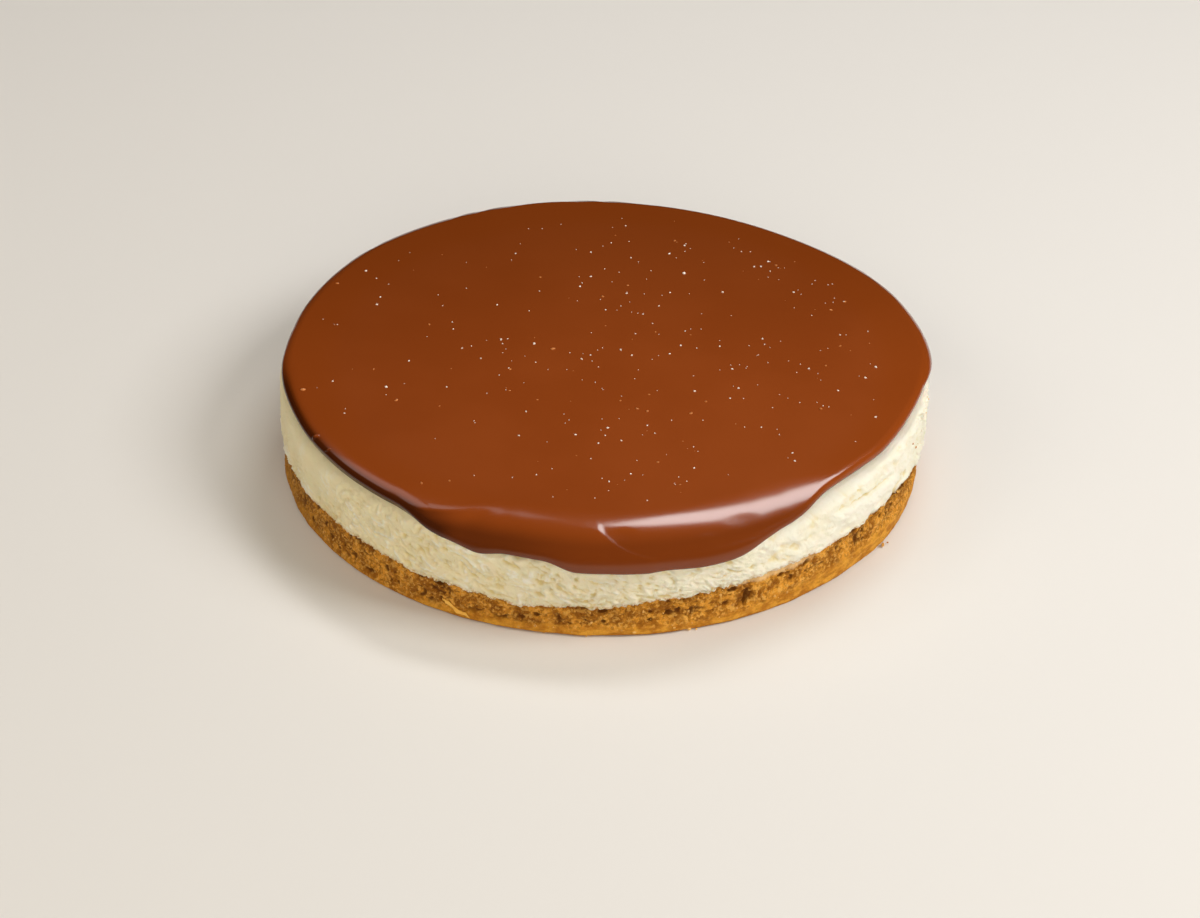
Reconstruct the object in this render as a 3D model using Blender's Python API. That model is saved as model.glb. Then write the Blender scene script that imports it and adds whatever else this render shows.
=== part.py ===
"""Baked cheesecake, whole: a pressed biscuit base, a cream-cheese filling and a poured chocolate glaze.

Each layer is one closed solid, lofted from rings of points round the cake's axis. The layers stack
with a thin gap. The glaze is a shell draped over the filling. Round most of the cake it stops just
short of the filling's edge. At the front the edge slopes away broadly, and the glaze hangs over it in
a small and a large lobe.
Metres, +Z up. The origin is on the surface the cake stands on, under the middle of its outline.
A bearing is measured in degrees from the front (-Y), growing towards the right (+X).
"""

import math

import bmesh
import bpy
import numpy as np
from mathutils import Vector, noise

# Driving dimensions
CAKE_HEIGHT = 0.0414
BASE_RADIUS = 0.1208
BASE_THICKNESS = 0.0150
FILLING_RADIUS = 0.1223
GLAZE_THICKNESS = 0.0040
LAYER_GAP = 0.0003

# Unevenness round the cake. Each swell is full between its two bearings and eases away over the
# degrees that follow; the last number is how much it adds there.
BASE_THICKNESS_SWELLS = (
    (-12, -2, 14, -0.0026),    # thin at the front
    (-28, -18, 14, -0.0012),
    (38, 52, 30, 0.0028),      # thick at the right
    (-62, -46, 20, 0.0008),
    (140, 190, 40, -0.0012),
)
BASE_RADIUS_SWELLS = (
    (66, 96, 24, 0.0014),      # wider at the right
    (201, 201, 62, 0.0014),    # and at the back left
)
BASE_LEAN_SWELLS = (
    (80, 105, 35, 0.0018),     # and leaning out there towards its top
)
FILLING_RADIUS_SWELLS = (
    (90, 112, 34, 0.0031),     # the belly at the right
    (201, 201, 62, 0.0018),    # and a lesser one at the back left
    (-85, -85, 45, -0.0008),
)
EDGE_REACH_SWELLS = (
    (-14, 36, 20, 0.0190),     # the front edge slopes away broadly
    (-70, -42, 24, 0.0040),    # the left edge is rounder than the rest
    (125, 226, 20, -0.0011),   # and the back edge is tight
)
EDGE_DROP_SWELLS = (
    (-16, 30, 18, 0.0055),
    (-70, -42, 24, 0.0032),
    (125, 226, 20, -0.0011),
)
GLAZE_STOP_SWELLS = (
    (105, 180, 34, -0.0053),   # almost to the edge at the back
    (209, 224, 37, -0.0050),
    (-102, -90, 23, -0.0020),
    (-70, -42, 24, 0.0014),
    (-54, -46, 14, 0.0006),    # set back at the left
    (46, 53, 9, 0.0014),       # set back at the right
    (-26, 22, 12, -0.0040),    # the whole hanging front
    (-15, -9, 6, 0.0017),      # between its two lobes
    (-2, 34, 13, -0.0009),     # the large lobe
    (18, 18, 6, -0.0005),      # and its lowest point
)

# The base
BASE_FOOT = 0.0008
BASE_TOP_INSET = 0.0010
BASE_FLAT_SHARE = 0.8
BASE_ROUGHNESS = 0.0005
BASE_LUMP = 0.008

# The filling
FILLING_TOP = CAKE_HEIGHT - GLAZE_THICKNESS
FILLING_TUCK = 0.0010
EDGE_REACH = 0.0020
EDGE_DROP = 0.0020
EDGE_RINGS = 7
SIDE_DENT = 0.0004
SIDE_LUMP = 0.014

# The glaze: how far short of the bottom of the filling's edge it stops, and its rounded lip
GLAZE_STOP = 0.0066
GLAZE_BEND_START = -0.012
LIP_THICKNESS = 0.0034
INNER_SHARES = (0.0, 0.35, 0.48, 0.6, 0.71, 0.8, 0.88, 0.94, 1.0)
OUTER_SHARES = (0.0, 0.42, 0.58, 0.74, 0.88, 1.0)
LIP_TURNS = (40, 90, 140)

STATIONS = 112
STEP = 360 / STATIONS
EDGE_TURNS = np.linspace(0, math.pi / 2, 65)


def clear_scene():
    for item in list(bpy.data.objects):
        bpy.data.objects.remove(item, do_unlink=True)


def finish_material(name, colour, roughness):
    material = bpy.data.materials.new(name)
    material.use_nodes = True
    shader = material.node_tree.nodes["Principled BSDF"]
    shader.inputs["Base Color"].default_value = (*colour, 1.0)
    shader.inputs["Roughness"].default_value = roughness
    shader.inputs["Metallic"].default_value = 0.0
    return material


def swell(bearing, start, end, ease):
    """1 between two bearings, easing smoothly to 0 outside them."""
    middle = (start + end) / 2
    away = abs((bearing - middle + 180) % 360 - 180) - (end - start) / 2
    return 0.5 + 0.5 * math.cos(math.pi * min(max(away / ease, 0), 1))


def swollen(plain, swells, bearing):
    """A plain size with its swells added at this bearing."""
    return plain + sum(amount * swell(bearing, *reach) for *reach, amount in swells)


def at(bearing, radius, height):
    turn = math.radians(bearing)
    return Vector((radius * math.sin(turn), -radius * math.cos(turn), height))


def lumps(point, size):
    """Smooth unevenness from -1 to 1 with lumps of about this size."""
    return noise.noise(point / size)


def base_radius(bearing):
    return swollen(BASE_RADIUS, BASE_RADIUS_SWELLS, bearing)


def base_thickness(bearing):
    return swollen(BASE_THICKNESS, BASE_THICKNESS_SWELLS, bearing)


def filling_radius(bearing):
    return swollen(FILLING_RADIUS, FILLING_RADIUS_SWELLS, bearing)


def base_top(bearing, share, lift=0.0):
    """Radius and height on the base's top, from its flat middle out to its uneven edge."""
    flat = BASE_RADIUS * BASE_FLAT_SHARE
    edge = BASE_RADIUS - BASE_TOP_INSET
    height = BASE_THICKNESS + (base_thickness(bearing) - BASE_THICKNESS) * share
    return flat + (edge - flat) * share, height + lift


def edge_reach(bearing):
    return swollen(EDGE_REACH, EDGE_REACH_SWELLS, bearing)


def edge_drop(bearing):
    return swollen(EDGE_DROP, EDGE_DROP_SWELLS, bearing)


def edge_runs(bearing):
    """How far down the filling's edge, a quarter of an ellipse, each of its turns is."""
    out = edge_reach(bearing) * np.sin(EDGE_TURNS)
    down = edge_drop(bearing) * np.cos(EDGE_TURNS)
    return np.concatenate(([0.0], np.cumsum(np.hypot(np.diff(out), np.diff(down)))))


def glaze_run(bearing):
    """How far the glaze runs past the start of the filling's edge, less than nothing on the flat top."""
    return edge_runs(bearing)[-1] - swollen(GLAZE_STOP, GLAZE_STOP_SWELLS, bearing)


def drape(bearing, run, lift):
    """Radius and height of the point this far past the start of the filling's edge, lifted off it."""
    reach, drop = edge_reach(bearing), edge_drop(bearing)
    runs = edge_runs(bearing)
    turn = np.interp(run, runs, EDGE_TURNS)
    facing = Vector((drop * math.sin(turn), reach * math.cos(turn))).normalized()
    radius = filling_radius(bearing) - reach + reach * math.sin(turn) + min(run, 0)
    height = FILLING_TOP - drop + drop * math.cos(turn) - max(run - runs[-1], 0)
    return radius + lift * facing.x, height + lift * facing.y


def loft(name, material, rings):
    """A closed solid through the rings, each a function of the bearing, with a flat cap at each end."""
    shape = bmesh.new()
    bmesh.ops.create_circle(shape, cap_ends=False, segments=STATIONS, radius=BASE_RADIUS)
    edges = list(shape.edges)
    bottom = list(edges)
    ring_verts = set()
    for number, ring in enumerate(rings):
        if number:
            grown = bmesh.ops.extrude_edge_only(shape, edges=edges)["geom"]
            edges = [part for part in grown if isinstance(part, bmesh.types.BMEdge)]
            edges = [edge for edge in edges if not ring_verts.intersection(edge.verts)]
        ring_verts = {vert for edge in edges for vert in edge.verts}
        for vert in ring_verts:
            bearing = math.degrees(math.atan2(vert.co.x, -vert.co.y))
            bearing = round(bearing / STEP) * STEP
            vert.co = at(bearing, *ring(bearing))
    bmesh.ops.edgeloop_fill(shape, edges=bottom)
    bmesh.ops.edgeloop_fill(shape, edges=edges)
    bmesh.ops.recalc_face_normals(shape, faces=shape.faces)
    mesh = bpy.data.meshes.new(name)
    shape.to_mesh(mesh)
    shape.free()
    mesh.shade_smooth()
    mesh.set_sharp_from_angle(angle=math.radians(40))
    mesh.materials.append(material)
    solid = bpy.data.objects.new(name, mesh)
    bpy.context.collection.objects.link(solid)
    return solid


def crumb_base():
    """Biscuit crumbs and butter pressed into a disc, with a rough edge."""

    def side(share, inset):
        def ring(bearing):
            height = BASE_FOOT + (base_thickness(bearing) - BASE_FOOT) * share
            rough = BASE_ROUGHNESS * lumps(at(bearing, BASE_RADIUS, height), BASE_LUMP)
            lean = swollen(0.0, BASE_LEAN_SWELLS, bearing) * share
            return base_radius(bearing) - inset + lean + rough, height
        return ring

    rings = [
        lambda bearing: (base_radius(bearing) - BASE_FOOT, 0.0),
        side(0.0, 0.0),
        side(0.35, 0.0),
        side(0.7, 0.0002),
        side(1.0, BASE_TOP_INSET),
        lambda bearing: base_top(bearing, 0.5),
        lambda bearing: base_top(bearing, 0.0),
    ]
    return loft("crumb_base", finish_material("baked_crumb", (0.38, 0.16, 0.03), 0.85), rings)


def cheese_filling():
    """Thick set cream cheese, a little wider than the base it stands on."""

    def side(share, tuck):
        def ring(bearing):
            low = base_thickness(bearing) + LAYER_GAP
            height = low + (FILLING_TOP - edge_drop(bearing) - low) * share
            dent = SIDE_DENT * (lumps(at(bearing, FILLING_RADIUS, height), SIDE_LUMP) - 1) * (1 - share)
            return filling_radius(bearing) - tuck + dent, height
        return ring

    def rounded(share):
        turn = math.pi / 2 * share
        return lambda bearing: drape(bearing, np.interp(turn, EDGE_TURNS, edge_runs(bearing)), 0.0)

    def underside(share):
        return lambda bearing: base_top(bearing, share, LAYER_GAP)

    rings = [underside(share) for share in (0.0, 0.5, 1.0)]
    rings += [
        side(0.0, FILLING_TUCK),
        side(0.08, FILLING_TUCK * 0.5),
        side(0.3, FILLING_TUCK * 0.1),
        side(0.65, 0.0),
    ]
    rings += [rounded(step / EDGE_RINGS) for step in range(EDGE_RINGS, -1, -1)]
    return loft("cheese_filling", finish_material("set_cheese", (0.72, 0.66, 0.46), 0.6), rings)


def chocolate_glaze():
    """Chocolate poured on the top, run over the edge at the front, set with a rounded lip."""
    flat = BASE_RADIUS * BASE_FLAT_SHARE

    def run_at(bearing, share):
        return GLAZE_BEND_START + (glaze_run(bearing) - GLAZE_BEND_START) * share

    def outer(share):
        def ring(bearing):
            lift = GLAZE_THICKNESS + (LIP_THICKNESS - GLAZE_THICKNESS) * share ** 3
            return drape(bearing, run_at(bearing, share), lift)
        return ring

    def inside(share):
        return lambda bearing: drape(bearing, run_at(bearing, share), LAYER_GAP)

    def lip(turn):
        def ring(bearing):
            half = (LIP_THICKNESS - LAYER_GAP) / 2
            run = glaze_run(bearing) + half * math.sin(turn)
            return drape(bearing, run, LAYER_GAP + half - half * math.cos(turn))
        return ring

    rings = [lambda bearing: (flat, FILLING_TOP + LAYER_GAP)]
    rings += [inside(share) for share in INNER_SHARES]
    rings += [lip(math.radians(turn)) for turn in LIP_TURNS]
    rings += [outer(share) for share in reversed(OUTER_SHARES)]
    rings.append(lambda bearing: (flat, CAKE_HEIGHT))
    return loft("chocolate_glaze", finish_material("milk_chocolate", (0.25, 0.055, 0.01), 0.3), rings)


def centre_outline(solids):
    """Shifts every solid so that the middle of the whole outline is over the origin."""
    points = [vert.co for solid in solids for vert in solid.data.vertices]
    middle_x = (min(p.x for p in points) + max(p.x for p in points)) / 2
    middle_y = (min(p.y for p in points) + max(p.y for p in points)) / 2
    for vert in (vert for solid in solids for vert in solid.data.vertices):
        vert.co -= Vector((middle_x, middle_y, 0.0))


clear_scene()
centre_outline([crumb_base(), cheese_filling(), chocolate_glaze()])
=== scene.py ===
import math
import random

import bpy
import numpy as np
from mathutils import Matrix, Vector, noise


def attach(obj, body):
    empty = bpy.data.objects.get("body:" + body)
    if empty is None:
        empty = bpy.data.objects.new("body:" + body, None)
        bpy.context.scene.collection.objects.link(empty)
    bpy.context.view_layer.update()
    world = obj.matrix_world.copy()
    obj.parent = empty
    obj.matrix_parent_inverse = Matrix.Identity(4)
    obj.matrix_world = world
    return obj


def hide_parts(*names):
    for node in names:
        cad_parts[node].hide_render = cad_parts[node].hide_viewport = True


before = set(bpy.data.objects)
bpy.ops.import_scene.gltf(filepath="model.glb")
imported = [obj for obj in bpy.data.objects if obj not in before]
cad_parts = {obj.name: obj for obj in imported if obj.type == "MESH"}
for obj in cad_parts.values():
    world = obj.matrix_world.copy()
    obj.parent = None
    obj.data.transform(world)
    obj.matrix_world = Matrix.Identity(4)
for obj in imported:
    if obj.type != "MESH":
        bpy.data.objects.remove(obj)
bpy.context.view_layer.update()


# ---- The crumb base ----
# Crushed biscuits and melted butter, pressed into the tin with a spoon and baked. The butter sinks, so
# the foot sets smooth and golden, while the crumbs above it stay rough, dark and full of small holes.
# It is uneven: thin at the front and thick at the right, where it also leans out.

CAKE_AXIS = Vector((-0.0027, -0.0008, 0.0))
BASE_RADIUS = 0.1208
BASE_THICKNESS = 0.0150
# A swell goes from one bearing to another, eases over some degrees, and adds an amount.
BASE_THICKNESS_SWELLS = (
    (-12, -2, 14, -0.0026),
    (-28, -18, 14, -0.0012),
    (38, 52, 30, 0.0028),
    (-62, -46, 20, 0.0008),
    (140, 190, 40, -0.0012),
)
BASE_RADIUS_SWELLS = (
    (66, 96, 24, 0.0014),
    (201, 201, 62, 0.0014),
)
BASE_LEAN_SWELLS = ((80, 105, 35, 0.0018),)
FOOT_SHARE = 0.26
FOOT_SHARE_SWELLS = (
    (38, 74, 20, 0.20),
    (-62, -24, 20, -0.16),
)
# A patch has a bearing and a height for its middle, and half its length and half its height.
BASE_CHUNK = (27.8, 0.0085, 0.0019, 0.0052)
BASE_CRACK = (26.3, 0.0088, 0.0010, 0.0048)
CRACK_SLANT = 130
BASE_PIT = (-28.0, 0.0118, 0.0022, 0.0013)
SIDE_PER_DEGREE = 0.118 * math.radians(1)
BASE_ROWS = 42
BASE_STATIONS = 1500


def swell(bearing, start, end, ease):
    """1 between two bearings, easing smoothly to 0 outside them."""
    middle = (start + end) / 2
    away = abs((bearing - middle + 180) % 360 - 180) - (end - start) / 2
    return 0.5 + 0.5 * math.cos(math.pi * min(max(away / ease, 0), 1))


def swollen(plain, swells, bearing):
    """A plain size with its swells added at this bearing."""
    return plain + sum(amount * swell(bearing, *reach) for *reach, amount in swells)


def on_cake(bearing, radius, height):
    """A place on the cake. The bearing is in degrees from the front, growing to the right."""
    turn = math.radians(bearing)
    return CAKE_AXIS + Vector((radius * math.sin(turn), -radius * math.cos(turn), height))


def smooth(low, high, value):
    """0 below low, 1 above high, and a smooth step between."""
    share = min(max((value - low) / (high - low), 0), 1)
    return share * share * (3 - 2 * share)


def wobble(bearing, radius, height, size, flatten=1.0):
    """Smooth unevenness from -1 to 1 in lumps of about this size, flattened into streaks if asked."""
    place = on_cake(bearing, radius, height * flatten)
    return noise.noise(place / size)


def bell(bearing, level, middle_bearing, middle_level, along, across):
    """1 in the middle of a round patch of a surface, easing to 0 at its rim. Sizes are half widths."""
    sideways = (bearing - middle_bearing) * SIDE_PER_DEGREE / along
    away = min(math.hypot(sideways, (level - middle_level) / across), 1)
    return (1 - away * away) ** 2


def wrap_layer(name, stations, rings):
    """A sheet of quads wrapped round the cake's axis and closed, with one row for each ring.

    A ring gives, at a bearing, the radius, the height, how far the surface stands proud there and how
    far it is above the layer's foot.
    """
    bpy.ops.object.select_all(action="DESELECT")
    bpy.ops.mesh.primitive_grid_add(x_subdivisions=stations, y_subdivisions=len(rings) - 1, size=1)
    layer = bpy.context.object
    layer.name = layer.data.name = name
    relief = layer.data.attributes.new("relief", "FLOAT", "POINT")
    above_foot = layer.data.attributes.new("above_foot", "FLOAT", "POINT")
    for vert in layer.data.vertices:
        bearing = round(vert.co.x * stations) * 360 / stations
        ring = rings[round((vert.co.y + 0.5) * (len(rings) - 1))]
        radius, height, relief.data[vert.index].value, above_foot.data[vert.index].value = ring(bearing)
        vert.co = on_cake(bearing, radius, height)
    bpy.ops.object.mode_set(mode="EDIT")
    bpy.ops.mesh.select_all(action="SELECT")
    bpy.ops.mesh.remove_doubles(threshold=1e-6)
    bpy.ops.mesh.normals_make_consistent(inside=False)
    bpy.ops.object.mode_set(mode="OBJECT")
    bpy.ops.object.shade_smooth()
    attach(layer, "root")
    return layer


def seam_height(bearing):
    """Where the crumbs end and the filling starts, ragged with crumbs."""
    ragged = 0.0007 * wobble(bearing, BASE_RADIUS, 0, 0.0040)
    ragged += 0.0006 * wobble(bearing, BASE_RADIUS, 1, 0.0013)
    return swollen(BASE_THICKNESS, BASE_THICKNESS_SWELLS, bearing) + ragged


def crumbs(bearing, height):
    """Relief of packed crumbs: lumps, rounded crumbs with creases between them, grain and deep holes."""
    place = on_cake(bearing, BASE_RADIUS, height)
    near = noise.voronoi(place / 0.0018)[0]
    lumps = 0.0007 * noise.noise(place / 0.006) + 0.0004 * noise.noise(place / 0.0022)
    grains = 0.0009 * (min(near[1] - near[0], 0.5) - 0.3) + 0.0005 * noise.noise(place / 0.0009)
    holes = -0.003 * max(noise.noise(place / 0.0030 + Vector((7, 0, 0))) - 0.30, 0)
    chunk = 0.0012 * bell(bearing, height, *BASE_CHUNK)
    slanted = bearing - CRACK_SLANT * (height - BASE_CRACK[1])
    crack = -0.0020 * bell(slanted, height, *BASE_CRACK)
    pit = -0.0020 * bell(bearing, height, *BASE_PIT)
    return lumps + grains + holes + chunk + crack + pit


def base_side(share):
    """The side of the base at this share of its height: smooth at the foot, rough with crumbs above."""
    def ring(bearing):
        height = seam_height(bearing) * share
        foot = swollen(FOOT_SHARE, FOOT_SHARE_SWELLS, bearing)
        foot += 0.10 * wobble(bearing, BASE_RADIUS, 0, 0.012)
        rough = smooth(foot - 0.05, foot + 0.12, share)
        proud = crumbs(bearing, height) * (0.15 + 0.85 * rough) - 0.0004 * rough
        proud += 0.0004 * wobble(bearing, BASE_RADIUS, height, 0.009, 2.5) * (1 - rough)
        bulge = 0.0004 * (1 - rough) - 0.0008 * (1 - smooth(0, 0.09, share)) ** 2
        lean = swollen(0.0, BASE_LEAN_SWELLS, bearing) * share
        radius = swollen(BASE_RADIUS, BASE_RADIUS_SWELLS, bearing) + lean + bulge + proud
        return radius, height, proud, height
    return ring


def base_flat(radius, height):
    return lambda bearing: (radius, height, 0.0, height)


base_rings = [base_flat(0.0, 0.0), base_flat(0.08, 0.0), base_flat(BASE_RADIUS - 0.0012, 0.0)]
base_rings += [base_side(row / BASE_ROWS) for row in range(BASE_ROWS + 1)]
base_rings += [base_flat(BASE_RADIUS - 0.004, BASE_THICKNESS - 0.003)]
base_rings += [base_flat(0.08, BASE_THICKNESS), base_flat(0.0, BASE_THICKNESS)]
base = wrap_layer("pressed_crumb_base", BASE_STATIONS, base_rings)
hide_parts("crumb_base")


class Value:
    """A number that varies over a surface. Arithmetic on it adds Math nodes to its material."""

    def __init__(self, finish, socket):
        self.finish = finish
        self.socket = socket

    def reckon(self, operation, *others):
        inputs = dict(enumerate((self, *others)))
        return self.finish.node("ShaderNodeMath", {"operation": operation}, inputs)

    def __add__(self, other):
        return self.reckon("ADD", other)

    def __radd__(self, other):
        return self.reckon("ADD", other)

    def __sub__(self, other):
        return self.reckon("SUBTRACT", other)

    def __rsub__(self, other):
        return self.reckon("MULTIPLY", -1.0).reckon("ADD", other)

    def __mul__(self, other):
        return self.reckon("MULTIPLY", other)

    def __rmul__(self, other):
        return self.reckon("MULTIPLY", other)

    def __pow__(self, other):
        return self.reckon("POWER", other)

    def between(self, low, high):
        """0 below low, 1 above high and smooth between, or the other way round if low is above high."""
        first, last = (0.0, 1.0) if low < high else (1.0, 0.0)
        inputs = {"Value": self, "From Min": min(low, high), "From Max": max(low, high)}
        inputs |= {"To Min": first, "To Max": last}
        return self.finish.node("ShaderNodeMapRange", {"interpolation_type": "SMOOTHSTEP"}, inputs)


class Finish:
    """A material whose shader is worked out from the place on the piece."""

    def __init__(self, name, **settings):
        self.material = bpy.data.materials.new(name)
        self.material.use_nodes = True
        self.nodes = self.material.node_tree.nodes
        self.shader = self.nodes["Principled BSDF"]
        self.set(**settings)
        self.place = self.node("ShaderNodeTexCoord", {}, {}, "Object")

    def node(self, kind, settings, inputs, output=0):
        """The output of a new node, after its settings are set and its sockets fed."""
        made = self.nodes.new(kind)
        for name, setting in settings.items():
            setattr(made, name, setting)
        for name, value in inputs.items():
            self.feed(made.inputs[name], value)
        return Value(self, made.outputs[output])

    def feed(self, socket, value):
        if isinstance(value, Value):
            self.material.node_tree.links.new(value.socket, socket)
        else:
            socket.default_value = (*value, 1.0) if socket.type == "RGBA" else value

    def set(self, **inputs):
        for name, value in inputs.items():
            self.feed(self.shader.inputs[name.replace("_", " ")], value)

    def stretched(self, along, up):
        """The place with its height scaled apart from its other two directions."""
        return self.node("ShaderNodeMapping", {}, {"Vector": self.place, "Scale": (along, along, up)})

    def grain(self, size, detail=2.0, rough=0.5, place=None):
        """Noise from 0 to 1 with lumps of about this size in metres."""
        inputs = {"Vector": place or self.place, "Scale": 1 / size, "Detail": detail, "Roughness": rough}
        return self.node("ShaderNodeTexNoise", {}, inputs)

    def cells(self, size):
        """A number from 0 to 1 for each of the cells of about this size that fill the piece."""
        cell = self.node("ShaderNodeTexVoronoi", {}, {"Vector": self.place, "Scale": 1 / size}, "Color")
        return self.node("ShaderNodeSeparateColor", {}, {0: cell})

    def carried(self, name):
        """A number kept on the mesh for each of its points."""
        return self.node("ShaderNodeAttribute", {"attribute_name": name}, {}, "Fac")

    def along(self, axis):
        return self.node("ShaderNodeSeparateXYZ", {}, {0: self.place}, axis)

    def height(self):
        return self.along("Z")

    def bearing(self):
        """Degrees from the front, growing to the right."""
        return self.along("X").reckon("ARCTAN2", self.along("Y") * -1.0) * (180 / math.pi)

    def radius(self):
        """How far out from the middle of the cake."""
        return (self.along("X") ** 2 + self.along("Y") ** 2) ** 0.5

    def mix(self, share, first, second):
        inputs = {"Factor": share, 6: first, 7: second}
        return self.node("ShaderNodeMix", {"data_type": "RGBA"}, inputs, 2)

    def bump(self, height, distance, strength):
        inputs = {"Height": height, "Distance": distance, "Strength": strength}
        return self.node("ShaderNodeBump", {}, inputs)


IN_MILLIMETRES = 1000
crumb = Finish("baked_crumb", Roughness=0.75, Specular_IOR_Level=0.2)
crumb_relief = crumb.carried("relief") * IN_MILLIMETRES
crumb_grain = crumb.grain(0.0006, 4, 0.8)
crumb_cells = crumb.cells(0.0010)
browned = crumb.grain(0.0060, 4, 0.7).between(0.40, 0.60)
toasted_and_shaded = crumb.mix(browned, (0.36, 0.125, 0.010), (0.80, 0.35, 0.040))
toasted_and_shaded = crumb.mix(crumb_cells.between(0.55, 0.95) * 0.5, toasted_and_shaded, (0.94, 0.53, 0.12))
toasted_and_shaded = crumb.mix(crumb_cells.between(0.40, 0.05) * 0.5, toasted_and_shaded, (0.24, 0.075, 0.006))
toasted_and_shaded = crumb.mix(crumb_grain.between(0.58, 0.72) * 0.5, toasted_and_shaded, (0.94, 0.54, 0.13))
toasted_and_shaded = crumb.mix(crumb_grain.between(0.46, 0.32) * 0.7, toasted_and_shaded, (0.16, 0.048, 0.004))
# Painted shade: the deepest holes, cracks and pits of the relief are coloured near black.
toasted_and_shaded = crumb.mix(crumb_relief.between(-0.55, -1.2) * 0.9, toasted_and_shaded, (0.13, 0.038, 0.004))
buttery = crumb.grain(0.005, 3, 0.6, crumb.stretched(1, 2.2)).between(0.35, 0.65)
buttery = crumb.mix(buttery, (0.50, 0.175, 0.012), (0.84, 0.40, 0.045))
buttery = crumb.mix(crumb_grain.between(0.46, 0.32) * 0.5, buttery, (0.40, 0.14, 0.010))
foot_line = 0.0036 + (crumb.grain(0.010, 3, 0.6) - 0.5) * 0.006
foot_line = foot_line + crumb.bearing().between(22, 40) * crumb.bearing().between(95, 78) * 0.0035
foot_line = foot_line - crumb.bearing().between(-66, -58) * crumb.bearing().between(-24, -34) * 0.0022
cream_line = crumb.height() - 0.0148 - (crumb.grain(0.004, 3, 0.6) - 0.5) * 0.003
cream_patch = crumb.bearing().between(19, 25) * crumb.bearing().between(41, 36)
cream_smear = cream_line.between(-0.0008, 0.0008) * cream_patch
toasted_and_shaded = crumb.mix(cream_smear * 0.75, toasted_and_shaded, (0.96, 0.66, 0.33))
in_foot = (crumb.height() - foot_line).between(0.0016, -0.0012)
# This carries the painted shade in the holes as well as the real colour of the crumbs and the foot.
baked = crumb.mix(in_foot * 0.85, toasted_and_shaded, buttery)
# Painted shade: the base is darker towards the left, the side turned away from the light.
painted_shade_left = crumb.along("X").between(-0.085, -0.12) * 0.35
crumb.set(Base_Color=crumb.mix(painted_shade_left, baked, (0.25, 0.110, 0.025)))
crumb.set(Normal=crumb.bump(crumb_grain + crumb_cells * 0.5, 0.0007, 0.9))
base.data.materials.append(crumb.material)


# ---- The cheese filling ----
# Cream cheese beaten with sugar and eggs, baked on the base until it sets, and chilled. When the tin's
# ring is drawn off it drags the side into fine pits and torn streaks. The front of its top edge has sunk
# into a long slope, and its side bulges at the right.

FILLING_TOP = 0.0374
FILLING_RADIUS = 0.1223
FILLING_RADIUS_SWELLS = (
    (90, 112, 34, 0.0031),
    (201, 201, 62, 0.0018),
    (-85, -85, 45, -0.0008),
)
EDGE_REACH = 0.0020
EDGE_REACH_SWELLS = (
    (-14, 36, 20, 0.0190),
    (-70, -42, 24, 0.0040),
    (125, 226, 20, -0.0011),
)
EDGE_DROP = 0.0020
EDGE_DROP_SWELLS = (
    (-16, 30, 18, 0.0055),
    (-70, -42, 24, 0.0032),
    (125, 226, 20, -0.0011),
)
EDGE_TURNS = np.linspace(0, math.pi / 2, 65)
RING_TWIST = 450
CREAMY_PATCH = (34, 66, 12)
CALM_PATCH = (-95, -58, 18)
LEDGE_PATCH = (47, 60, 6)
LEDGE_HEIGHT = 0.0303
LEDGE_SLOPE = -0.00016
GROOVE_PATCH = (49, 58, 6)
FILLING_NICK = (24.5, 0.0222, 0.0019, 0.0010)
WELL_ABOVE_FOOT = 0.02
SIDE_ROWS = 42
EDGE_ROWS = 14
FILLING_STATIONS = 1500
edge_walks = {}


def edge_walk(bearing):
    """Reach, drop and the run to each turn of the filling's edge, a quarter of an ellipse."""
    if bearing not in edge_walks:
        reach = swollen(EDGE_REACH, EDGE_REACH_SWELLS, bearing)
        drop = swollen(EDGE_DROP, EDGE_DROP_SWELLS, bearing)
        steps = np.hypot(np.diff(reach * np.sin(EDGE_TURNS)), np.diff(drop * np.cos(EDGE_TURNS)))
        edge_walks[bearing] = reach, drop, np.concatenate(([0.0], np.cumsum(steps)))
    return edge_walks[bearing]


def drape(bearing, run, lift):
    """Radius and height of the point this far past the start of the filling's edge, lifted off it."""
    reach, drop, runs = edge_walk(bearing)
    turn = float(np.interp(run, runs, EDGE_TURNS))
    facing = Vector((drop * math.sin(turn), reach * math.cos(turn))).normalized()
    radius = swollen(FILLING_RADIUS, FILLING_RADIUS_SWELLS, bearing)
    radius += reach * math.sin(turn) - reach + min(run, 0)
    height = FILLING_TOP - drop + drop * math.cos(turn) - max(run - runs[-1], 0)
    return radius + lift * facing.x, height + lift * facing.y


def flakes(bearing, height, size, deep):
    """Overlapping flakes of about this size, each thickest at its torn lower edge."""
    rise = 2.2 * wobble(bearing, FILLING_RADIUS, height, size * 1.2, 0.7) - height / size
    step = 1 - rise % 1
    return deep * (step * smooth(0, 0.25, 1 - step) - 0.4)


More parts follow.
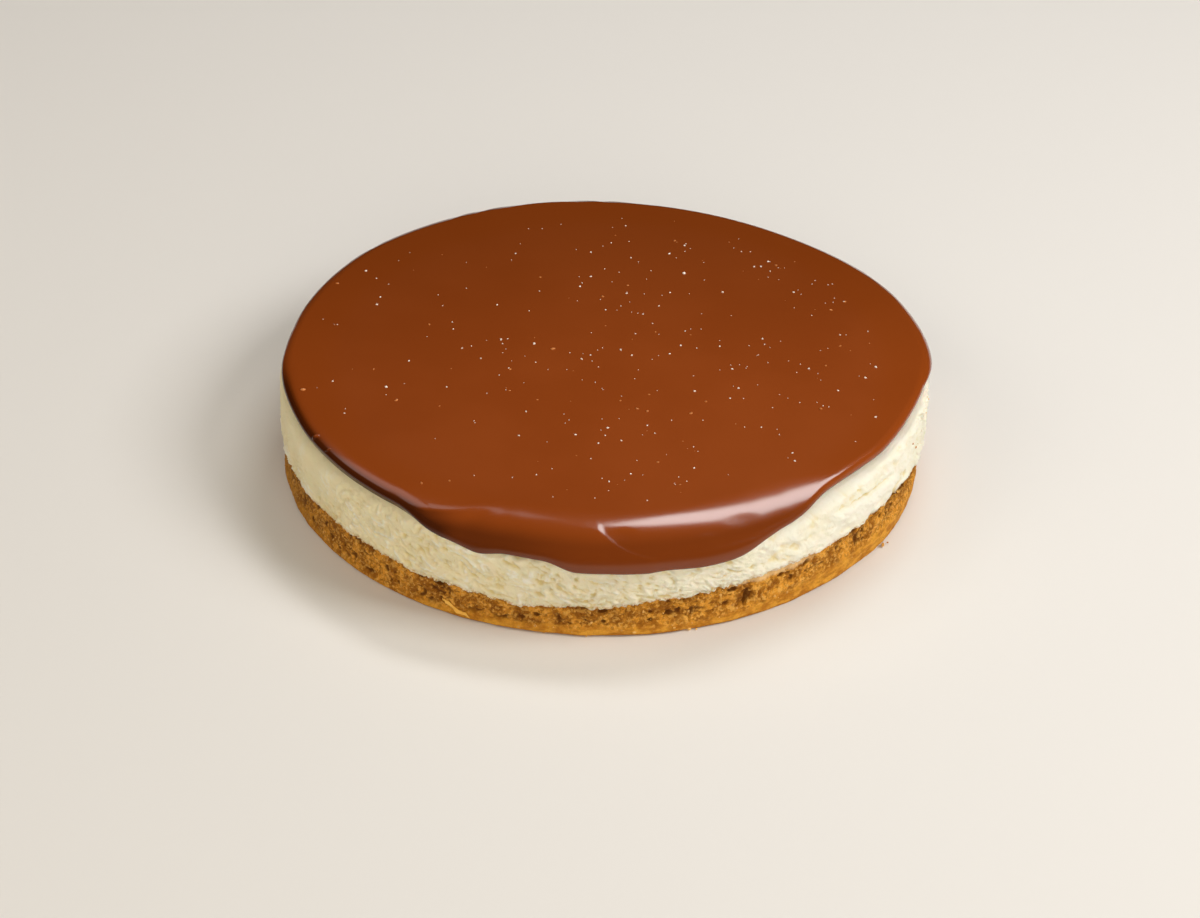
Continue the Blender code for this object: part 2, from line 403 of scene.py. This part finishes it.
def torn(bearing, height):
    """Relief of the side where the ring was drawn off: torn flakes, pits and drag streaks."""
    dragged = bearing + RING_TWIST * height
    patches = smooth(-0.30, 0.20, wobble(bearing, FILLING_RADIUS, height + 3, 0.008))
    flaked = flakes(dragged, height, 0.0050, 0.0012) * (0.4 + 0.6 * patches)
    flaked += flakes(dragged + 9, height, 0.0026, 0.0009) * (0.5 + 0.5 * patches)
    pits = -max(wobble(dragged, FILLING_RADIUS, height, 0.0020, 1.0) - 0.18, 0) * 0.0022
    fine = 0.00030 * wobble(dragged, FILLING_RADIUS, height + 1, 0.0011, 0.8)
    fine += 0.00035 * wobble(bearing, FILLING_RADIUS, height + 2, 0.0028)
    lumps = 0.0006 * wobble(bearing, FILLING_RADIUS, height, 0.012)
    creamy = swell(bearing, *CREAMY_PATCH)
    lumps += 0.0009 * creamy * wobble(bearing, FILLING_RADIUS, height + 6, 0.0048, 1.4)
    calm = 1 - 0.7 * swell(bearing, *CALM_PATCH) * smooth(0.020, 0.031, height)
    line = LEDGE_HEIGHT + LEDGE_SLOPE * (bearing - 50)
    line += 0.0009 * wobble(bearing, FILLING_RADIUS, 4, 0.004)
    ledge = smooth(line + 0.0007, line, height) * smooth(0.019, 0.027, height)
    ledge *= 0.0014 * swell(bearing, *LEDGE_PATCH)
    groove = -0.0012 * swell(bearing, *GROOVE_PATCH) * max(1 - abs(height - line - 0.0003) / 0.0010, 0)
    nick = -0.0014 * bell(bearing, height, *FILLING_NICK)
    return lumps + (flaked + pits) * calm * (1 - 0.7 * creamy) + fine * calm + ledge + groove + nick


def filling_side(share):
    """The side of the filling at this share of the way from the base up to the start of its edge."""
    def ring(bearing):
        low = seam_height(bearing) - 0.0002
        height = low + (FILLING_TOP - edge_walk(bearing)[1] - low) * share
        tuck = 0.0009 * (1 - smooth(0, 0.22, share)) ** 2
        proud = torn(bearing, height)
        radius = swollen(FILLING_RADIUS, FILLING_RADIUS_SWELLS, bearing) - tuck + proud
        return radius, height, proud, height - low
    return ring


def filling_edge(share):
    """The edge of the filling at this share of its quarter turn, from the flat top out to the side."""
    def ring(bearing):
        drop, runs = edge_walk(bearing)[1:]
        run = float(np.interp(math.pi / 2 * share, EDGE_TURNS, runs))
        proud = torn(bearing, FILLING_TOP - drop * (1 - math.cos(math.pi / 2 * share))) * share
        return *drape(bearing, run, proud), proud, WELL_ABOVE_FOOT
    return ring


def filling_flat(radius, height):
    return lambda bearing: (radius, height, 0.0, WELL_ABOVE_FOOT)


filling_rings = [filling_flat(0.0, BASE_THICKNESS), filling_flat(0.1, BASE_THICKNESS)]
filling_rings += [filling_side(row / SIDE_ROWS) for row in range(SIDE_ROWS)]
filling_rings += [filling_edge(row / EDGE_ROWS) for row in range(EDGE_ROWS, -1, -1)]
filling_rings += [filling_flat(0.095, FILLING_TOP), filling_flat(0.0, FILLING_TOP)]
filling = wrap_layer("baked_cheese_filling", FILLING_STATIONS, filling_rings)
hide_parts("cheese_filling")

cheese = Finish("set_cheese", Roughness=0.55, Subsurface_Weight=0.1, Subsurface_Scale=0.003)
cheese_relief = cheese.carried("relief") * IN_MILLIMETRES
cheese_grain = cheese.grain(0.0009, 5, 0.75)
# Painted shade: the cream is yellower and darker towards the left, the side turned away from the light, and
# whitest at the right.
cream = cheese.mix(cheese.along("X").between(-0.09, 0.08), (0.94, 0.82, 0.52), (0.96, 0.92, 0.78))
cream = cheese.mix(cheese.grain(0.009, 2, 0.5).between(0.3, 0.7) * 0.3, cream, (0.92, 0.84, 0.58))
# Painted highlight and shade: proud flakes are coloured whiter and the pits a shaded olive yellow.
cream = cheese.mix(cheese_relief.between(0.1, 0.6) * 0.75, cream, (0.98, 0.95, 0.82))
cream = cheese.mix(cheese_relief.between(-0.15, -1.0) * 0.8, cream, (0.82, 0.66, 0.28))
cream = cheese.mix(cheese_grain.between(0.44, 0.30) * 0.25, cream, (0.84, 0.72, 0.36))
crumbed = cheese.carried("above_foot").between(0.0022, 0.0)
crumbed = crumbed * cheese.grain(0.0009, 3, 0.7).between(0.46, 0.60)
cream = cheese.mix(crumbed * 0.85, cream, (0.62, 0.30, 0.06))
cheese.set(Base_Color=cream, Normal=cheese.bump(cheese_grain, 0.0009, 0.8))
filling.data.materials.append(cheese.material)


# ---- The chocolate glaze ----
# Milk chocolate melted with cream and poured over the chilled cake. It lies flat and about four
# millimetres thick, stops just short of the filling's edge, and has run over the sunken front in a small
# and a large lobe that set with thick rounded lips.

CAKE_HEIGHT = 0.0414
GLAZE_THICKNESS = 0.0040
GLAZE_STOP = 0.0066
GLAZE_STOP_SWELLS = (
    (105, 180, 34, -0.0053),
    (209, 224, 37, -0.0050),
    (-102, -90, 23, -0.0020),
    (-70, -42, 24, 0.0014),
    (-54, -46, 14, 0.0006),
    (46, 53, 9, 0.0014),
    (-26, 22, 12, -0.0040),
    (-15, -9, 6, 0.0017),
    (-2, 34, 13, -0.0009),
    (18, 18, 6, -0.0005),
)
GLAZE_BEND_START = -0.014
LIP_THICKNESS = 0.0034
LEFT_RIM = (-80, -33, 11)
GLAZE_GAP = 0.0001
FOLD_BEARING = 0.4
FOLD_RUN = 0.0092
FOLD_FALL = 0.0125
FOLD_EASE = 3.6
FOLD_PER_DEGREE = 0.002
STEEPEST_OF_STEP = 1.5
# Each has its depth or height, then its patch: a bearing and a run for its middle, and half its sizes.
HOLLOWS = (
    (-0.00020, 4.6, 0.0125, 0.0062, 0.0036),
    (-0.00012, 26.0, 0.0130, 0.0090, 0.0036),
)
SWELLINGS = (
    (0.00018, 18.6, 0.0172, 0.0070, 0.0026),
    (0.0004, -32.5, 0.0035, 0.0060, 0.0055),
)
SMALL_LOBE_SCOOP = (-28, -24, 7)
INSIDE_ROWS = 10
LIP_ROWS = 16
OUTSIDE_ROWS = 64
GLAZE_STATIONS = 900


def glaze_run(bearing):
    """How far the glaze runs past the start of the filling's edge."""
    return edge_walk(bearing)[2][-1] - swollen(GLAZE_STOP, GLAZE_STOP_SWELLS, bearing)


def folds(bearing, run):
    """Relief of the hanging glaze: a fold running down to the right, hollows and swellings.

    The glaze steps up at the fold, and the step grows steeper to the right until it fades out.
    """
    past = max(bearing - FOLD_BEARING, 0.0)
    crease = FOLD_RUN + FOLD_FALL * (1 - math.exp(-past / FOLD_EASE))
    wide = 0.0012 + 0.0011 * math.exp(-(past / 4) ** 2)
    rise = wide / STEEPEST_OF_STEP * max(0.14, 0.03 + 0.125 * max(bearing - 1, 0.0) ** 0.88)
    wide += 0.0040 * min(max(FOLD_BEARING - bearing, 0.0), 3)
    steep = FOLD_FALL / FOLD_EASE * math.exp(-past / FOLD_EASE) / FOLD_PER_DEGREE
    steep *= smooth(-1.5, FOLD_BEARING, bearing)
    over = (run - crease) / math.hypot(1, steep) / wide + 0.5
    fold = rise * smooth(0, 1, over) * smooth(-5, 0.6, bearing) * (1 - smooth(8, 13, bearing))
    poured = sum(amount * bell(bearing, run, *patch) for amount, *patch in HOLLOWS + SWELLINGS)
    scoop = -0.0009 * smooth(-0.0020, 0.0100, run) * swell(bearing, *SMALL_LOBE_SCOOP)
    return fold + poured + scoop


def glaze_lift(bearing, run):
    """How thick the glaze is at this run, thinning a little towards its lip."""
    share = (run - GLAZE_BEND_START) / (glaze_run(bearing) - GLAZE_BEND_START)
    thinning = (GLAZE_THICKNESS - LIP_THICKNESS) * share ** 3 * swell(bearing, -26, 40, 14)
    poured = 0.00006 * wobble(bearing, 0.11 + run, 0, 0.03) * share
    return GLAZE_THICKNESS - thinning + poured + folds(bearing, run)


def lip_round(bearing):
    """How far in from its edge the top of the glaze starts to round over, far in at the left."""
    return 0.0012 + 0.0022 * swell(bearing, *LEFT_RIM)


def glaze_inside(share):
    """The underside of the glaze, lying on the filling as far as the lip."""
    def ring(bearing):
        run = GLAZE_BEND_START + (glaze_run(bearing) - GLAZE_BEND_START) * share
        return *drape(bearing, run, GLAZE_GAP), 0.0, 0.0
    return ring


def glaze_lip(turn):
    """The round lip of the glaze, turning from its underside to its outside."""
    def ring(bearing):
        end = glaze_run(bearing)
        half = (glaze_lift(bearing, end - lip_round(bearing)) - GLAZE_GAP) / 2
        bulge = math.sin(turn)
        if turn > math.pi / 2:
            run = end + half * bulge - lip_round(bearing) * (1 - bulge)
        else:
            run = end + half * (bulge + (1 - bulge) * swell(bearing, *LEFT_RIM))
        return *drape(bearing, run, GLAZE_GAP + half - half * math.cos(turn)), 0.0, 0.0
    return ring


def glaze_outside(share):
    """The outside of the glaze, from its flat top down to the lip, with its rows closer near the lip."""
    crowded = share * (1.6 - 0.6 * share)

    def ring(bearing):
        run = GLAZE_BEND_START + (glaze_run(bearing) - lip_round(bearing) - GLAZE_BEND_START) * crowded
        return *drape(bearing, run, glaze_lift(bearing, run)), 0.0, 0.0
    return ring


def glaze_top(radius):
    return lambda bearing: (radius, CAKE_HEIGHT, 0.0, 0.0)


glaze_rings = [lambda bearing: (0.0, FILLING_TOP + GLAZE_GAP, 0.0, 0.0)]
glaze_rings += [glaze_inside(row / INSIDE_ROWS) for row in range(INSIDE_ROWS + 1)]
glaze_rings += [glaze_lip(math.pi * row / LIP_ROWS) for row in range(1, LIP_ROWS)]
glaze_rings += [glaze_outside(row / OUTSIDE_ROWS) for row in range(OUTSIDE_ROWS, -1, -1)]
glaze_rings += [glaze_top(radius / 1000) for radius in range(80, -1, -10)]
glaze = wrap_layer("poured_chocolate_glaze", GLAZE_STATIONS, glaze_rings)
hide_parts("chocolate_glaze")

chocolate = Finish("milk_chocolate", Roughness=0.13)
cloud = chocolate.grain(0.06, 3, 0.5).between(0.35, 0.65)
brown = chocolate.mix(cloud, (0.250, 0.0490, 0.0070), (0.272, 0.0555, 0.0090))
# Painted reflection: a warmer, less blue ring near the edge stands in for the weaker reflected veil where
# the top starts to tilt.
brown = chocolate.mix(chocolate.radius().between(0.098, 0.112) * 0.5, brown, (0.260, 0.0485, 0.0040))
# Painted shade: the glaze is darker towards the back and the left, away from the light.
brown = chocolate.mix(chocolate.along("Y").between(-0.04, 0.12) * 0.55, brown, (0.130, 0.025, 0.0028))
brown = chocolate.mix(chocolate.along("X").between(0.0, -0.12) * 0.20, brown, (0.130, 0.025, 0.0028))
# Painted shade: the hanging face of the glaze is coloured darker, most on the left lobe, which faces away
# from the light.
hanging = chocolate.height().between(0.0410, 0.0375)
hanging = hanging * (0.47 + 0.25 * chocolate.along("X").between(-0.004, -0.043))
# Painted shade: the rounded lip at the left, which faces away from the light, is coloured dark brown.
rim = chocolate.height().between(0.0413, 0.0405) * chocolate.bearing().between(-24, -34)
rim = rim * chocolate.bearing().between(-92, -78) * 0.9
chocolate.set(Base_Color=chocolate.mix(hanging + rim, brown, (0.055, 0.010, 0.0010)))
glaze.data.materials.append(chocolate.material)


# ---- The pale specks ----
# Grains of sugar and milk solids that float up while the glaze sets. They are as fine as dust, with a few
# as big as a coarse grain of salt, and lie thickest in the middle and at the right.

# The big ones: bearing, radius and length.
PALE_SPECKS = (
    (142, 0.033, 0.0008), (98, 0.027, 0.0010), (102, 0.047, 0.0010), (127, 0.010, 0.0013),
    (-111, 0.027, 0.0013), (-108, 0.040, 0.0013), (-104, 0.0385, 0.0008), (-110, 0.0378, 0.0007),
    (-96, 0.053, 0.0010), (-121, 0.072, 0.0008), (-109, 0.060, 0.0009), (-35, 0.047, 0.0010),
    (-28, 0.062, 0.0011), (0, 0.059, 0.0010), (21, 0.050, 0.0009), (25, 0.082, 0.0010),
    (69, 0.056, 0.0010), (61, 0.056, 0.0008), (52, 0.076, 0.0008), (48, 0.095, 0.0009),
    (46, 0.099, 0.0009), (77, 0.092, 0.0010), (88, 0.105, 0.0014), (124, 0.092, 0.0010),
    (153, 0.073, 0.0016), (-124, 0.113, 0.0012), (-113, 0.095, 0.0011), (-74, 0.083, 0.0014),
    (-79, 0.102, 0.0009), (-177, 0.081, 0.0009),
)
PALE_DUST = 230
FLAT_RADIUS = 0.112
dice = random.Random(7)


def strewn(name, bits, flatness, detail=1):
    """One piece joined from many small lumps. Each bit is a bearing, a radius, a height and a length."""
    lumps = []
    for bearing, radius, height, length in bits:
        place = on_cake(bearing, radius, height)
        bpy.ops.mesh.primitive_ico_sphere_add(subdivisions=detail, radius=length / 2, location=place)
        lump = bpy.context.object
        lump.rotation_euler = (dice.uniform(-0.3, 0.3), dice.uniform(-0.3, 0.3), dice.uniform(0, 6))
        lump.scale = (1, dice.uniform(0.5, 0.9), flatness * dice.uniform(0.8, 1.2))
        lumps.append(lump)
    bpy.ops.object.select_all(action="DESELECT")
    for lump in lumps:
        lump.select_set(True)
    bpy.context.view_layer.objects.active = lumps[0]
    bpy.ops.object.join()
    bpy.ops.object.transform_apply(location=True, rotation=True, scale=True)
    piece = bpy.context.object
    piece.name = piece.data.name = name
    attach(piece, "root")
    return piece


def on_glaze(bearing, radius, length):
    """A bit of this length set into the top of the glaze."""
    reach = edge_walk(bearing)[0]
    run = radius - swollen(FILLING_RADIUS, FILLING_RADIUS_SWELLS, bearing) + reach
    lift = glaze_lift(bearing, run) if run > GLAZE_BEND_START else GLAZE_THICKNESS
    return bearing, radius, FILLING_TOP + lift, length


def dusting(count, least, spread):
    """Places and lengths of fine bits on the flat of the glaze, thin on the ground at the left."""
    bits = []
    while len(bits) < count:
        bearing, radius = dice.uniform(-180, 180), FLAT_RADIUS * dice.random() ** 0.5
        flat = FLAT_RADIUS - 0.014 * swell(bearing, -40, 40, 25)
        across = radius * math.sin(math.radians(bearing))
        if radius < flat and dice.random() < 0.3 + 0.7 * smooth(-0.06, 0.02, across):
            bits.append(on_glaze(bearing, radius, least + spread * dice.random() ** 4))
    return bits


pale_bits = [on_glaze(*bit) for bit in PALE_SPECKS] + dusting(PALE_DUST, 0.0005, 0.0007)
specks = strewn("pale_specks", pale_bits, 0.8)
pale = Finish("pale_specks", Roughness=0.4)
pale.set(Base_Color=pale.mix(pale.cells(0.004), (0.86, 0.70, 0.58), (0.97, 0.91, 0.84)))
specks.data.materials.append(pale.material)


# ---- The toffee specks ----
# Bits of burnt sugar and biscuit crumb stirred into the glaze. They are orange-brown, flat and mostly sunk,
# so that only their tops show, and a bigger one sits near the rim at the left.

TOFFEE_SPECKS = (
    (179, 0.046, 0.0017), (169, 0.056, 0.0013), (-109, 0.019, 0.0024), (136, 0.101, 0.0018),
    (113, 0.098, 0.0017), (97, 0.093, 0.0014), (88, 0.086, 0.0014), (42, 0.051, 0.0019),
    (26, 0.041, 0.0015), (22, 0.038, 0.0018), (15, 0.031, 0.0014), (17, 0.074, 0.0014),
    (19, 0.090, 0.0013), (115, 0.106, 0.0015), (68, 0.089, 0.0018), (162, 0.096, 0.0014),
    (-32, 0.100, 0.0014), (-59, 0.069, 0.0014), (-77, 0.1135, 0.0026), (-67, 0.082, 0.0020),
    (-83, 0.086, 0.0012), (-117, 0.117, 0.0018), (-109, 0.070, 0.0013), (-36, 0.107, 0.0016),
    (-75, 0.035, 0.0012),
)
TOFFEE_DUST = 45
toffee_bits = [on_glaze(*bit) for bit in TOFFEE_SPECKS] + dusting(TOFFEE_DUST, 0.0006, 0.0008)
sunk_bits = strewn("toffee_specks", toffee_bits, 0.35)
bpy.ops.object.shade_smooth()
toffee = Finish("toffee_specks", Roughness=0.35)
toffee.set(Base_Color=toffee.mix(toffee.cells(0.006), (0.40, 0.115, 0.022), (0.66, 0.24, 0.070)))
sunk_bits.data.materials.append(toffee.material)


# ---- The blobs on the rim ----
# Drops of glaze that set last, pushed up in a short row on the rim at the left. They are the same
# chocolate as the glaze, round on top and sunk into it at the foot.

RIM_BLOBS = (
    (-66.5, 0.1162, 0.0397, 0.0036),
    (-61.5, 0.1170, 0.0396, 0.0040),
    (-59.2, 0.1168, 0.0399, 0.0026),
    (-56.6, 0.1170, 0.0397, 0.0034),
    (-49.5, 0.1150, 0.0400, 0.0022),
)
blobs = strewn("rim_blobs", RIM_BLOBS, 0.75, 4)
bpy.ops.object.shade_smooth()
# They take the glaze's painted shade of the hanging face and the left lip, so they come out dark.
blobs.data.materials.append(chocolate.material)


# ---- The loose crumbs ----
# Bits of the baked base that came away with the ring. They cling to the base and along its seam with the
# filling, some are smeared up the filling at the right, and a few lie at the foot.

FALLEN_CRUMBS = (
    (-8.7, 0.1205, 0.0006, 0.0018),
    (16.0, 0.1208, 0.0006, 0.0019),
    (17.2, 0.1215, 0.0004, 0.0010),
    (59.4, 0.1233, 0.0007, 0.0021),
    (60.6, 0.1240, 0.0004, 0.0009),
    (-1.5, 0.1212, 0.0004, 0.0010),
)
CLINGING_CRUMBS = 260
SMEARED_CRUMBS = 26
SUNK = 0.0001
crumb_bits = list(FALLEN_CRUMBS)
for _ in range(CLINGING_CRUMBS):
    bearing = dice.uniform(-180, 180)
    share = dice.uniform(0.12, 1.02)
    radius, height = base_side(share)(bearing)[:2]
    crumb_bits.append((bearing, radius - SUNK, height, 0.0007 + 0.0010 * dice.random() ** 3))
for _ in range(SMEARED_CRUMBS):
    bearing, height = dice.uniform(70, 88), 0.022 + 0.014 * dice.random()
    radius = filling_side(1 - (0.036 - height) / 0.019)(bearing)[0]
    crumb_bits.append((bearing, radius - SUNK, height, 0.0005 + 0.0009 * dice.random() ** 2))
crumb_pieces = strewn("loose_crumbs", crumb_bits, 0.8)
loose = Finish("loose_crumb", Roughness=0.75, Specular_IOR_Level=0.2)
loose.set(Base_Color=loose.mix(loose.cells(0.0025), (0.42, 0.16, 0.020), (0.90, 0.55, 0.17)))
crumb_pieces.data.materials.append(loose.material)


# ---- The golden flake ----
# A thin shiny chip of the buttery foot at the front left. It is still stuck at its left end and stands
# away from the base at its right end, where it broke.

FLAKE_START = -27.4
FLAKE_TURN = 5.8
FLAKE_TOP = 0.0054
FLAKE_FALL = 0.0042
FLAKE_THICKNESS = 0.0003
bpy.ops.mesh.primitive_grid_add(x_subdivisions=16, y_subdivisions=3, size=1)
flake = bpy.context.object
flake.name = flake.data.name = "golden_flake"
for vert in flake.data.vertices:
    share, across = vert.co.x + 0.5, vert.co.y * (1 - abs(2 * vert.co.x) ** 3)
    bearing = FLAKE_START + FLAKE_TURN * share
    height = FLAKE_TOP - FLAKE_FALL * share + 0.0004 * math.sin(9 * share) + 0.0014 * across
    radius = base_side(min(height / seam_height(bearing), 1))(bearing)[0]
    vert.co = on_cake(bearing, radius + 0.0004 + 0.0007 * share ** 3 - 0.0003 * across, height)
bpy.ops.object.modifier_add(type="SOLIDIFY")
flake.modifiers["Solidify"].thickness = FLAKE_THICKNESS
flake.modifiers["Solidify"].offset = 0
bpy.ops.object.modifier_apply(modifier="Solidify")
bpy.ops.object.shade_smooth()
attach(flake, "root")
golden = Finish("golden_chip", Roughness=0.25)
golden.set(Base_Color=golden.mix(golden.grain(0.003), (0.85, 0.38, 0.03), (0.98, 0.62, 0.14)))
flake.data.materials.append(golden.material)


# ---- The table, the light and the camera ----
# The cake stands on a plain pale table. A soft window behind and to the right shines in the glaze, three
# large ones light the cake without showing in it, and the camera looks down from the front.

TABLE_HEIGHT = -0.0003
bpy.ops.mesh.primitive_plane_add(size=6, location=(0, 0, TABLE_HEIGHT))
table = bpy.context.object
table.name = "table"
table_top = Finish("pale_table", Roughness=0.6)
table_top.set(Base_Color=(0.78, 0.75, 0.71))
table.data.materials.append(table_top.material)

CAKE_MIDDLE = Vector((0.0, 0.0, 0.02))
WHITE = (1.0, 1.0, 1.0)


def window(name, bearing, elevation, distance, width, height, power, colour, shines):
    """A soft rectangular light that faces the cake, and that shows in its gloss or not."""
    turn, rise = math.radians(bearing), math.radians(elevation)
    away = Vector((math.sin(turn) * math.cos(rise), -math.cos(turn) * math.cos(rise), math.sin(rise)))
    bpy.ops.object.light_add(type="AREA", location=CAKE_MIDDLE + away * distance)
    lamp = bpy.context.object
    lamp.name = name
    lamp.rotation_euler = away.to_track_quat("Z", "Y").to_euler()
    lamp.data.shape = "RECTANGLE"
    lamp.data.size = width
    lamp.data.size_y = height
    lamp.data.energy = power
    lamp.data.color = colour
    lamp.visible_glossy = shines


window("window", 151, 56.5, 1.5, 0.80, 0.27, 6.8, WHITE, True)
window("side_window", 75, 42, 1.6, 0.7, 0.7, 16.5, WHITE, False)
window("left_wall", -75, 40, 1.6, 1.2, 0.9, 7, (1.0, 0.92, 0.80), False)
window("front_wall", 5, 28, 2.0, 1.6, 0.9, 14.5, (1.0, 0.94, 0.82), False)
window("back_wall", 210, 50, 1.5, 0.8, 0.31, 1.0, WHITE, True)

world = bpy.data.worlds.new("room")
world.use_nodes = True
room = world.node_tree
outlook = room.nodes.new("ShaderNodeTexCoord")
sides = room.nodes.new("ShaderNodeSeparateXYZ")
room.links.new(outlook.outputs["Generated"], sides.inputs[0])


def lit(axis, start, end, first, last):
    """A brightness that eases from first to last between two places along one axis of the room."""
    eased = room.nodes.new("ShaderNodeMapRange")
    eased.interpolation_type = "SMOOTHSTEP"
    for socket, number in zip(("From Min", "From Max", "To Min", "To Max"), (start, end, first, last)):
        eased.inputs[socket].default_value = number
    room.links.new(sides.outputs[axis], eased.inputs["Value"])
    return eased.outputs[0]


brightness = lit("Z", 0.1, 0.55, 0.80, 0.05)
for shade in (lit("Y", 0.0, 0.75, 1.0, 0.02), lit("X", -0.95, -0.35, 0.12, 1.0)):
    both = room.nodes.new("ShaderNodeMath")
    both.operation = "MULTIPLY"
    room.links.new(brightness, both.inputs[0])
    room.links.new(shade, both.inputs[1])
    brightness = both.outputs[0]
room.links.new(brightness, room.nodes["Background"].inputs["Strength"])
room.nodes["Background"].inputs["Color"].default_value = (1.0, 0.88, 0.70, 1.0)
bpy.context.scene.world = world
bpy.context.scene.view_settings.view_transform = "Standard"

CAMERA_PITCH = math.radians(33.7)
bpy.ops.object.camera_add(location=CAKE_AXIS + Vector((0.0007, -0.97224, 0.64356)))
camera = bpy.context.object
camera.rotation_euler = (math.pi / 2 - CAMERA_PITCH, 0, 0)
camera.rotation_euler.rotate_axis("Z", 0.015)
camera.data.lens = 90
camera.data.sensor_width = 36
bpy.context.scene.camera = camera
